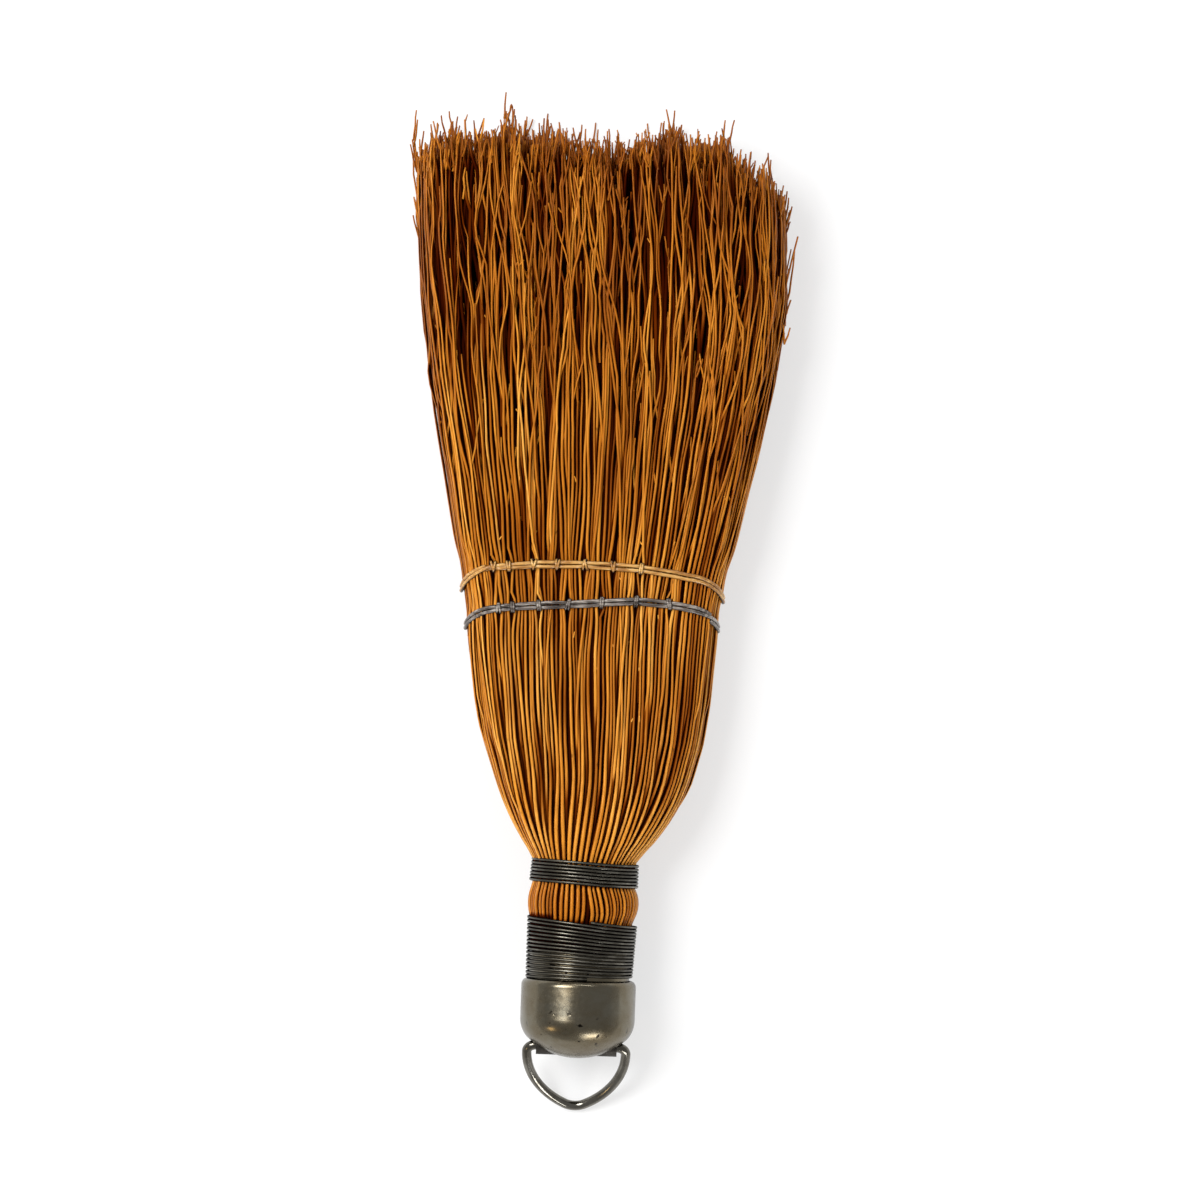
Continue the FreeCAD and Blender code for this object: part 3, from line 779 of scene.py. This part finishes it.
class Shader:
    """A material with its main shader, and short ways to add nodes to it."""

    def __init__(self, name):
        self.material = bpy.data.materials.new(name)
        self.material.use_nodes = True
        self.tree = self.material.node_tree
        self.main = self.tree.nodes["Principled BSDF"]
        self.place = self.add("ShaderNodeTexCoord").outputs["Object"]

    def add(self, kind, **settings):
        node = self.tree.nodes.new(kind)
        for key, value in settings.items():
            setattr(node, key, value)
        return node

    def link(self, output, socket):
        self.tree.links.new(output, socket)

    def feed(self, socket, value):
        """Set a socket to a value, or link it to an output."""
        if isinstance(value, bpy.types.NodeSocket):
            self.link(value, socket)
        else:
            socket.default_value = value

    def attribute(self, label):
        return self.add("ShaderNodeAttribute", attribute_name=label).outputs["Fac"]

    def noise(self, stretch, detail=3.0, rough=0.55):
        """Noise with its own number of waves per metre along each axis."""
        scaled = self.add("ShaderNodeMapping")
        scaled.inputs["Scale"].default_value = stretch
        self.link(self.place, scaled.inputs["Vector"])
        node = self.add("ShaderNodeTexNoise")
        node.inputs["Scale"].default_value = 1.0
        node.inputs["Detail"].default_value = detail
        node.inputs["Roughness"].default_value = rough
        self.link(scaled.outputs["Vector"], node.inputs["Vector"])
        return node.outputs["Fac"]

    def math(self, operation, first, second):
        node = self.add("ShaderNodeMath", operation=operation)
        for socket, value in zip(node.inputs, (first, second)):
            self.feed(socket, value)
        return node.outputs["Value"]

    def span(self, value, low, high, to_low, to_high):
        """A value's way from low to high, turned into one from to_low to to_high."""
        node = self.add("ShaderNodeMapRange")
        for label, given in (("Value", value), ("From Min", low), ("From Max", high),
                             ("To Min", to_low), ("To Max", to_high)):
            self.feed(node.inputs[label], given)
        return node.outputs["Result"]

    def ramp(self, value, stops):
        node = self.add("ShaderNodeValToRGB")
        while len(node.color_ramp.elements) < len(stops):
            node.color_ramp.elements.new(0.5)
        for element, (position, colour) in zip(node.color_ramp.elements, stops):
            element.position = position
            element.color = (*colour, 1.0)
        self.link(value, node.inputs["Fac"])
        return node.outputs["Color"]

    def mix(self, share, first, second, blend="MIX"):
        node = self.add("ShaderNodeMix", data_type="RGBA", blend_type=blend)
        self.feed(node.inputs[0], share)
        for socket, value in ((node.inputs[6], first), (node.inputs[7], second)):
            self.feed(socket, (*value, 1.0) if isinstance(value, tuple) else value)
        return node.outputs[2]

    def bump(self, height, strength, distance):
        node = self.add("ShaderNodeBump")
        node.inputs["Strength"].default_value = strength
        node.inputs["Distance"].default_value = distance
        self.link(height, node.inputs["Height"])
        self.link(node.outputs["Normal"], self.main.inputs["Normal"])

    def set(self, **values):
        """Set inputs of the main shader, whose names have spaces for the underscores."""
        for label, value in values.items():
            self.feed(self.main.inputs[label.replace("_", " ")], value)


# Colours of the straw, from its darkest tone to its palest, of its grain and specks, and of its painted
# shade
straw_colours = (
    (0.0, (0.110, 0.016, 0.0005)),
    (0.3, (0.255, 0.060, 0.003)),
    (0.6, (0.510, 0.164, 0.011)),
    (0.85, (0.710, 0.280, 0.030)),
    (1.0, (0.850, 0.400, 0.070)),
)
GRAIN_COLOUR = (0.150, 0.040, 0.004)
SPECK_COLOUR = (0.045, 0.015, 0.003)
SHADED_TINT = (0.34, 0.16, 0.05)
GROOVE_SHADE_COLOUR = (0.016, 0.0016, 0.0002)
STRAW_SHINE_TINT = (1.0, 0.55, 0.22, 1.0)

# Colours of the metals, of the painted shade between the wire's turns and low on the cap's sides, and the
# share of the twine's dark colour kept in its painted shade
wire_colours = (
    (0.30, (0.046, 0.042, 0.032)),
    (0.55, (0.098, 0.091, 0.073)),
    (0.75, (0.250, 0.236, 0.198)),
)
WIRE_TARNISH = (0.045, 0.026, 0.013)
SHADE_BETWEEN_TURNS = (0.003, 0.0025, 0.002)
cap_colours = (
    (0.30, (0.110, 0.084, 0.048)),
    (0.50, (0.150, 0.129, 0.090)),
    (0.70, (0.185, 0.172, 0.136)),
)
CAP_PIT = (0.015, 0.012, 0.009)
CAP_LOW_SIDE_SHADE = (0.030, 0.027, 0.020)
CAP_LOW_SIDE_SHADE_TO = 6
STEEL_TARNISH = (0.03, 0.022, 0.016)
TWINE_SHADE_SHARE = 0.12


def straw_material():
    """Dry stalk in its own tone, redder toward the tips, with grain and specks, and painted shade in the
    grooves, with less shine there.
    """
    look = Shader("dry_straw")
    tone = look.attribute("tone")
    reach = look.attribute("reach")
    painted_light = look.attribute("painted_light")
    blotch = look.noise((90.0, 28.0, 90.0))
    grain = look.noise((2600.0, 60.0, 2600.0), 2.0)
    shade = look.math("ADD", tone, look.span(blotch, 0.3, 0.7, -0.16, 0.16))
    shade = look.math("ADD", shade, look.span(reach, 0.0, 0.95, 0.31, -0.17))
    shade = look.math("ADD", shade, look.span(reach, -0.045, -0.02, -0.27, 0.0))
    colour = look.ramp(shade, straw_colours)
    colour = look.mix(look.span(grain, 0.42, 0.7, 0.0, 0.40), colour, GRAIN_COLOUR)
    speck = look.noise((700.0, 240.0, 700.0), 1.0)
    colour = look.mix(look.span(speck, 0.74, 0.80, 0.0, 0.6), colour, SPECK_COLOUR)
    # Painted shade: a darker tint, then a near-black colour, where the straw faces in, lies deep or sits
    # under a winding
    colour = look.mix(look.span(painted_light, 0.30, 0.92, 1.0, 0.0), colour, SHADED_TINT, "MULTIPLY")
    colour = look.mix(look.span(painted_light, 0.0, 0.55, 0.98, 0.0), colour, GROOVE_SHADE_COLOUR)
    look.bump(grain, 0.35, 0.0002)
    rough = look.span(grain, 0.3, 0.7, 0.28, 0.44)
    # Less shine in the painted shade
    shine = look.span(painted_light, 0.3, 0.95, 0.0, 0.42)
    look.set(Base_Color=colour, Roughness=rough, Specular_IOR_Level=shine, Specular_Tint=STRAW_SHINE_TINT)
    return look.material


def wire_material():
    """Dull dark iron wire with scuffed bright stretches and brown tarnish, and painted shade between its
    turns: black, with no metal shine.
    """
    look = Shader("dark_binding_wire")
    patch = look.noise((160.0, 400.0, 160.0))
    fine = look.noise((1500.0, 1500.0, 1500.0), 4.0)
    colour = look.ramp(patch, wire_colours)
    colour = look.mix(look.span(fine, 0.60, 0.75, 0.0, 0.5), colour, WIRE_TARNISH)
    # Painted shade between the turns, where the wire faces in: black base colour, with no metal and no
    # shine
    unshaded = look.span(look.attribute("painted_light"), 0.925, 1.0, 0.0, 1.0)
    colour = look.mix(unshaded, SHADE_BETWEEN_TURNS, colour)
    look.bump(fine, 0.2, 0.0001)
    shine = look.math("MULTIPLY", unshaded, 0.5)
    rough = look.span(patch, 0.3, 0.7, 0.46, 0.30)
    look.set(Base_Color=colour, Metallic=unshaded, Specular_IOR_Level=shine, Roughness=rough)
    return look.material


def twine_material(name, dark, mid, pale):
    """Waxed twine with fine fibres and patches; its dark colour is the twine in shade and its pale one
    the twine in a highlight, so the patches are partly painted shade and painted highlight, and its sides
    that face in get painted shade.
    """
    look = Shader(name)
    fibre = look.noise((160.0, 2200.0, 2200.0), 3.0)
    patch = look.noise((150.0, 400.0, 150.0))
    shade = look.math("ADD", look.math("MULTIPLY", fibre, 0.45), look.math("MULTIPLY", patch, 0.55))
    colour = look.ramp(shade, ((0.36, dark), (0.50, mid), (0.64, pale)))
    # Painted shade where the twine faces away from the outside of the bundle
    groove = tuple(level * TWINE_SHADE_SHARE for level in dark)
    colour = look.mix(look.span(look.attribute("painted_light"), 0.45, 0.97, 1.0, 0.0), colour, groove)
    look.bump(fibre, 0.25, 0.0001)
    look.set(Base_Color=colour, Roughness=look.span(fibre, 0.3, 0.7, 0.16, 0.30))
    return look.material


def cap_material():
    """Tarnished nickel plate: brown haze, scratches, shallow dents and pits, and painted shade low on its
    sides, which darkens what they reflect.
    """
    look = Shader("tarnished_nickel")
    haze = look.noise((70.0, 80.0, 70.0), 5.0, 0.65)
    fine = look.noise((900.0, 900.0, 900.0), 5.0)
    scratch = look.noise((1800.0, 160.0, 1800.0), 2.0)
    colour = look.ramp(haze, cap_colours)
    dent = look.noise((110.0, 130.0, 110.0), 2.0)
    pit = look.noise((420.0, 420.0, 420.0), 1.0)
    where = look.noise((60.0, 60.0, 60.0), 1.0)
    pit = look.span(pit, 0.68, 0.72, 0.0, 1.0)
    pitted = look.math("MULTIPLY", pit, look.span(where, 0.46, 0.54, 0.0, 1.0))
    colour = look.mix(pitted, colour, CAP_PIT)
    # Painted shade low on the sides: darkest at the height of the axis and below, gone 6 mm above it
    height = look.add("ShaderNodeSeparateXYZ")
    look.link(look.add("ShaderNodeNewGeometry").outputs["Position"], height.inputs["Vector"])
    low_side_shade = look.span(height.outputs["Z"], AXIS_Z * MM, (AXIS_Z + CAP_LOW_SIDE_SHADE_TO) * MM, 0.75, 0.0)
    colour = look.mix(low_side_shade, colour, CAP_LOW_SIDE_SHADE)
    rough = look.span(haze, 0.3, 0.7, 0.27, 0.16)
    rough = look.math("ADD", rough, look.span(fine, 0.35, 0.7, 0.0, 0.08))
    relief = look.math("SUBTRACT", look.math("MULTIPLY", scratch, 0.10), pitted)
    relief = look.math("ADD", relief, look.math("MULTIPLY", dent, 3.0))
    look.bump(relief, 0.30, 0.0002)
    look.set(Base_Color=colour, Metallic=1.0, Roughness=rough)
    return look.material


def steel_material(name, dark, pale, rough_low, rough_high):
    """Bare steel with tarnish in patches."""
    look = Shader(name)
    patch = look.noise((140.0, 140.0, 140.0), 4.0)
    fine = look.noise((1400.0, 1400.0, 1400.0), 4.0)
    colour = look.ramp(patch, ((0.32, dark), (0.66, pale)))
    colour = look.mix(look.span(fine, 0.62, 0.78, 0.0, 0.6), colour, STEEL_TARNISH)
    look.bump(fine, 0.15, 0.0001)
    rough = look.span(patch, 0.3, 0.7, rough_high, rough_low)
    look.set(Base_Color=colour, Metallic=1.0, Roughness=rough)
    return look.material


straw_look = straw_material()
wire_look = wire_material()
# Twine colours: dark is the twine in shade and pale the twine in a highlight, painted shade and painted
# highlight spread by fibre and patch noise
grey_look = twine_material(
    "grey_twine", dark=(0.026, 0.019, 0.015), mid=(0.120, 0.098, 0.083), pale=(0.440, 0.385, 0.335))
tan_look = twine_material(
    "tan_twine", dark=(0.200, 0.075, 0.014), mid=(0.470, 0.222, 0.052), pale=(0.760, 0.470, 0.155))

# Straws stand in for the solids of the same name, and those inside for the core
for name, bunch in bunches.items():
    node = "core_straws" if name == "inside_stalks" else name.replace("stalks", "straws")
    make_piece(name, bunch.mesh(name), straw_look, [node])

# Wire windings, and waves that all turns share: height, waves in a turn, start
WIRE_RADIUS = 0.45
WIRE_SIDES = 12
HANDLE_PITCH = 1.08
HANDLE_START = 0.05
NECK_PITCH = 1.02
NECK_START = 1.4
TIE_START = 1.8
TURN_POINTS = 56
WIRE_UNEVEN = 0.20
WIRE_ROUNDING = 160
turn_waves = ((0.10, 1, 0.8), (0.08, 3, 2.0))


def wound_wire(start_y, turns, pitch, first_turn, radii, shifts, leans):
    """Path of a wire wound upward, whose radius, shift aside and lean change on the way."""
    turn = np.linspace(0, turns, int(turns * TURN_POINTS) + 1)
    angle = 2 * math.pi * (turn + first_turn)
    rise = turn / turns
    uneven = smooth(rng.normal(0, WIRE_UNEVEN, len(turn)), WIRE_ROUNDING)
    common = sum(height * np.sin(waves * angle + start) for height, waves, start in turn_waves)
    radius, shift, lean = (low + (high - low) * rise for low, high in (radii, shifts, leans))
    x = radius * np.cos(angle)
    z = radius * np.sin(angle)
    y = start_y + pitch * turn + lean * x + common + uneven
    return np.stack([x + shift, y, z + AXIS_Z], axis=-1)


def winding_piece(name, node, path):
    rings = swept_rings(path, WIRE_RADIUS, WIRE_SIDES)
    painted_light = facing_out(rings, path, (path - (0, 0, AXIS_Z)) * (1, 0, 1))
    tube_piece(name, node, rings, painted_light, wire_look)


winding_piece("handle_wire", "handle_winding", wound_wire(
    handle_low[1] + HANDLE_START, turns=16, pitch=HANDLE_PITCH, first_turn=0.225,
    radii=(15.65, 16.15), shifts=(0.0, 0.4), leans=(0.0, HANDLE_LEAN)))
winding_piece("neck_wire", "neck_winding", wound_wire(
    neck_low[1] + NECK_START, turns=7, pitch=NECK_PITCH, first_turn=0.75,
    radii=(16.0, 15.7), shifts=(0.4, 0.7), leans=(NECK_LEAN, NECK_LEAN)))
winding_piece("tie_wire", "core_tie", wound_wire(
    neck_low[1] + TIE_START, turns=4, pitch=HANDLE_PITCH, first_turn=0.25,
    radii=(9.2, 9.2), shifts=(0.0, 0.0), leans=(0.0, 0.0)))

# Bands of the sewn rows
TWINE_RADIUS = 0.61
TWINE_SIDES = 12
TWINE_LOBE_SHARE = 0.012
TWINE_LAY = 9.0
STRANDS = 3
BAND_POINTS = 480
BAND_SEAT_SHARE = 0.75
BAND_APART_SHARE = 1.06
BAND_UNEVEN = 0.25
BAND_ROUNDING = 40
EDGE_BOW = 0.22
CROSS_RANGE = (0.97, 1.03)
CROSS_LIFT_SHARE = 0.9
CROSS_LIFT_LENGTH = 0.012
PULL_WIDTH = 1.3
PULL_TOGETHER_SHARE = 0.24
PULL_IN = 0.35

# Stitches of the sewn rows
THREAD_RADIUS = 0.39
THREAD_SIDES = 10
THREAD_LOBE_SHARE = 0.04
THREAD_LAY = 4.0
THREAD_APART_SHARE = 0.8
THREAD_SEAT_SHARE = 0.55
THREAD_STEPS = 4
STITCH_ROOM = 0.26
STITCH_SINK = 0.1
STITCH_SLANT = 0.5
stitch_angles = np.radians((-35, 0, 35, 70, 110, 145, 180, 215))


def smooth_line(points, steps):
    """Smooth line through points."""
    points = np.concatenate([2 * points[:1] - points[1:2], points, 2 * points[-1:] - points[-2:-1]])
    line = []
    for p0, p1, p2, p3 in zip(points, points[1:], points[2:], points[3:]):
        for t in np.linspace(0, 1, steps, endpoint=False):
            line.append(0.5 * (2 * p1 + (p2 - p0) * t + (2 * p0 - 5 * p1 + 4 * p2 - p3) * t ** 2
                               + (3 * p1 - p0 - 3 * p2 + p3) * t ** 3))
    line.append(points[-2])
    return np.array(line)


def band_path(row):
    """Twine laid round the fan twice, the second time above the first, pulled in at the stitches."""
    facts = rows[row]
    half_wide = (facts["right"] - facts["left"]) / 2
    half_thick = section_at(np.mean(facts["y"]))[2] + BAND_SEAT_SHARE * TWINE_RADIUS
    around = np.linspace(0, 2, BAND_POINTS)
    start = (1 - facts["knot"] / half_wide) / 4
    section = round_stadium(half_wide, half_thick, start - around)
    x = section[:, 0] + (facts["left"] + facts["right"]) / 2
    front = np.abs(section[:, 1]) / half_thick
    edge_y = np.where(x < 0, facts["left_y"], facts["right_y"])
    pull = sum(np.exp(-((x - place) / PULL_WIDTH) ** 2) for place in facts["stitches"])
    over = 2 * ease(around, *CROSS_RANGE) - 1
    offset = TWINE_RADIUS * over * (BAND_APART_SHARE - PULL_TOGETHER_SHARE * pull)
    uneven = smooth(rng.normal(0, BAND_UNEVEN, BAND_POINTS), BAND_ROUNDING)
    bowed = (np.hypot(front, EDGE_BOW) - EDGE_BOW) / (math.hypot(1, EDGE_BOW) - EDGE_BOW)
    y = edge_y + (row_height(row, x) - edge_y) * bowed + offset + uneven
    crossing = np.exp(-((around - 1.0) / CROSS_LIFT_LENGTH) ** 2)
    lift = CROSS_LIFT_SHARE * TWINE_RADIUS * crossing - PULL_IN * pull
    z = section[:, 1] + np.sign(section[:, 1]) * lift * front
    return np.stack([x, y, z + AXIS_Z], axis=-1)


def stitch_path(row):
    """Thread that goes twice through the fan and over the bands of both sides at each stitch."""
    places = rows[row]["stitches"]
    reach = 2 * TWINE_RADIUS + STITCH_ROOM
    height = 2 * TWINE_RADIUS + THREAD_SEAT_SHARE * THREAD_RADIUS
    apart = THREAD_APART_SHARE * THREAD_RADIUS
    points = []
    for place in places:
        y = row_height(row, place)
        top = section_at(y)[2] - STITCH_SINK
        for aside in (-apart, apart):
            slant = rng.uniform(-STITCH_SLANT, STITCH_SLANT)
            x = place + aside
            for side in (1, -1):
                for turn in stitch_angles:
                    rise = math.cos(turn)
                    points.append((x + slant * rise, y + side * reach * rise,
                                   AXIS_Z + side * (top + height * math.sin(turn))))
    return smooth_line(np.array(points), THREAD_STEPS)


def sewn_row(row, look):
    path = band_path(row)
    rings = swept_rings(path, TWINE_RADIUS, TWINE_SIDES, STRANDS, TWINE_LOBE_SHARE, TWINE_LAY)
    flat = (rows[row]["right"] - rows[row]["left"]) / 2 - section_at(np.mean(rows[row]["y"]))[2]
    rib = np.stack([np.clip(path[:, 0], -flat, flat), path[:, 1], np.full(BAND_POINTS, AXIS_Z)], axis=-1)
    painted_light = facing_out(rings, path, path - rib)
    tube_piece(f"{row}_twine", f"{row}_band", rings, painted_light, look)
    path = stitch_path(row)
    rings = swept_rings(path, THREAD_RADIUS, THREAD_SIDES, STRANDS, THREAD_LOBE_SHARE, THREAD_LAY)
    painted_light = facing_out(rings, path, (path - (0, 0, AXIS_Z)) * (0, 0, 1))
    tube_piece(f"{row}_thread", f"{row}_stitching", rings, painted_light, look)


sewn_row("lower", grey_look)
sewn_row("upper", tan_look)

# Metal pieces keep their solids
cap_look = cap_material()
# Near-black sleeve steel: partly dark unplated steel, partly painted shade for the shadow it sits in at
# the cap's end
sleeve_look = steel_material(
    "dark_sleeve_steel_and_painted_shade", dark=(0.020, 0.018, 0.016), pale=(0.070, 0.064, 0.056),
    rough_low=0.36, rough_high=0.55)
ring_look = steel_material(
    "tarnished_ring_wire", dark=(0.085, 0.077, 0.062), pale=(0.200, 0.190, 0.165),
    rough_low=0.12, rough_high=0.24)
for node, look in (("end_cap", cap_look), ("hinge_sleeve", sleeve_look), ("hanging_ring", ring_look)):
    nodes[node].data.materials.clear()
    nodes[node].data.materials.append(look)

# Floor, light and camera
FLOOR_HALF = 6.0
FLOOR_COLOUR = (0.93, 0.93, 0.93, 1.0)
FLOOR_ROUGHNESS = 0.9
FLOOR_GLOW_SHARE = 0.6
VIEW_X = 0.00226
VIEW_Y = 0.0040
VIEW_WIDTH = 0.360
VIEW_TILT = 2.06
LENS = 300.0
SENSOR = 36.0
WHITE_COLOUR = (1.0, 1.0, 1.0)
WARM_COLOUR = (1.0, 0.72, 0.36)
SKY_LEVEL = 0.38
HORIZON_LEVEL = 0.55
SKY_AT_SHARE = 0.36
HORIZON_AT_SHARE = 0.22


def make_floor():
    """White floor that also glows where the camera or a reflection sees it."""
    mesh = bpy.data.meshes.new("floor")
    corners = [(-FLOOR_HALF, -FLOOR_HALF, 0), (FLOOR_HALF, -FLOOR_HALF, 0),
               (FLOOR_HALF, FLOOR_HALF, 0), (-FLOOR_HALF, FLOOR_HALF, 0)]
    mesh.from_pydata(corners, [], [(0, 1, 2, 3)])
    floor = bpy.data.objects.new("floor", mesh)
    bpy.context.scene.collection.objects.link(floor)
    look = Shader("white_floor")
    path = look.add("ShaderNodeLightPath")
    seen = look.math("MAXIMUM", path.outputs["Is Camera Ray"], path.outputs["Is Glossy Ray"])
    seen = look.math("MAXIMUM", seen, path.outputs["Is Transmission Ray"])
    white = look.add("ShaderNodeEmission")
    shown = look.add("ShaderNodeMixShader")
    look.link(look.math("MULTIPLY", seen, FLOOR_GLOW_SHARE), shown.inputs[0])
    look.link(look.main.outputs["BSDF"], shown.inputs[1])
    look.link(white.outputs["Emission"], shown.inputs[2])
    look.link(shown.outputs["Shader"], look.tree.nodes["Material Output"].inputs["Surface"])
    look.set(Base_Color=FLOOR_COLOUR, Roughness=FLOOR_ROUGHNESS)
    mesh.materials.append(look.material)


def make_lamp(name, place, across, tall, power, colour=WHITE_COLOUR):
    """Soft lamp turned toward the middle of the floor."""
    light = bpy.data.lights.new(name, "AREA")
    light.shape = "RECTANGLE"
    light.color = colour
    light.size = across
    light.size_y = tall
    light.energy = power
    lamp = bpy.data.objects.new(name, light)
    bpy.context.scene.collection.objects.link(lamp)
    lamp.location = place
    lamp.rotation_mode = "QUATERNION"
    lamp.rotation_quaternion = (-Vector(place)).to_track_quat("-Z", "Y")


def make_light():
    """Even light from all round, brighter near the horizon, and four lamps."""
    world = bpy.data.worlds.new("studio")
    world.use_nodes = True
    tree = world.node_tree
    direction = tree.nodes.new("ShaderNodeTexCoord").outputs["Generated"]
    split = tree.nodes.new("ShaderNodeSeparateXYZ")
    sky = tree.nodes.new("ShaderNodeValToRGB")
    stops = ((HORIZON_AT_SHARE, HORIZON_LEVEL), (SKY_AT_SHARE, SKY_LEVEL))
    for element, (position, level) in zip(sky.color_ramp.elements, stops):
        element.position = position
        element.color = (level, level, level, 1.0)
    tree.links.new(direction, split.inputs["Vector"])
    tree.links.new(split.outputs["Z"], sky.inputs["Fac"])
    tree.links.new(sky.outputs["Color"], tree.nodes["Background"].inputs["Color"])
    bpy.context.scene.world = world
    make_lamp("key", place=(-1.15, 0.55, 1.95), across=1.1, tall=1.1, power=53.0)
    make_lamp("strip", place=(0.0, 1.25, 1.25), across=1.7, tall=0.10, power=5.5)
    make_lamp("low_light", place=(0.42, -1.05, 0.42), across=0.44, tall=0.26, power=4.8)
    make_lamp("warm_light", place=(-0.85, -0.75, 0.50), across=0.16, tall=0.16, power=0.7,
              colour=WARM_COLOUR)


def make_camera():
    data = bpy.data.cameras.new("camera")
    data.lens = LENS
    data.sensor_width = SENSOR
    camera = bpy.data.objects.new("camera", data)
    bpy.context.scene.collection.objects.link(camera)
    camera.location = (VIEW_X, VIEW_Y, AXIS_Z * MM + VIEW_WIDTH * LENS / SENSOR)
    camera.rotation_euler = (0, 0, math.radians(VIEW_TILT))
    bpy.context.scene.camera = camera


make_floor()
make_light()
make_camera()
bpy.context.scene.view_settings.view_transform = "Standard"
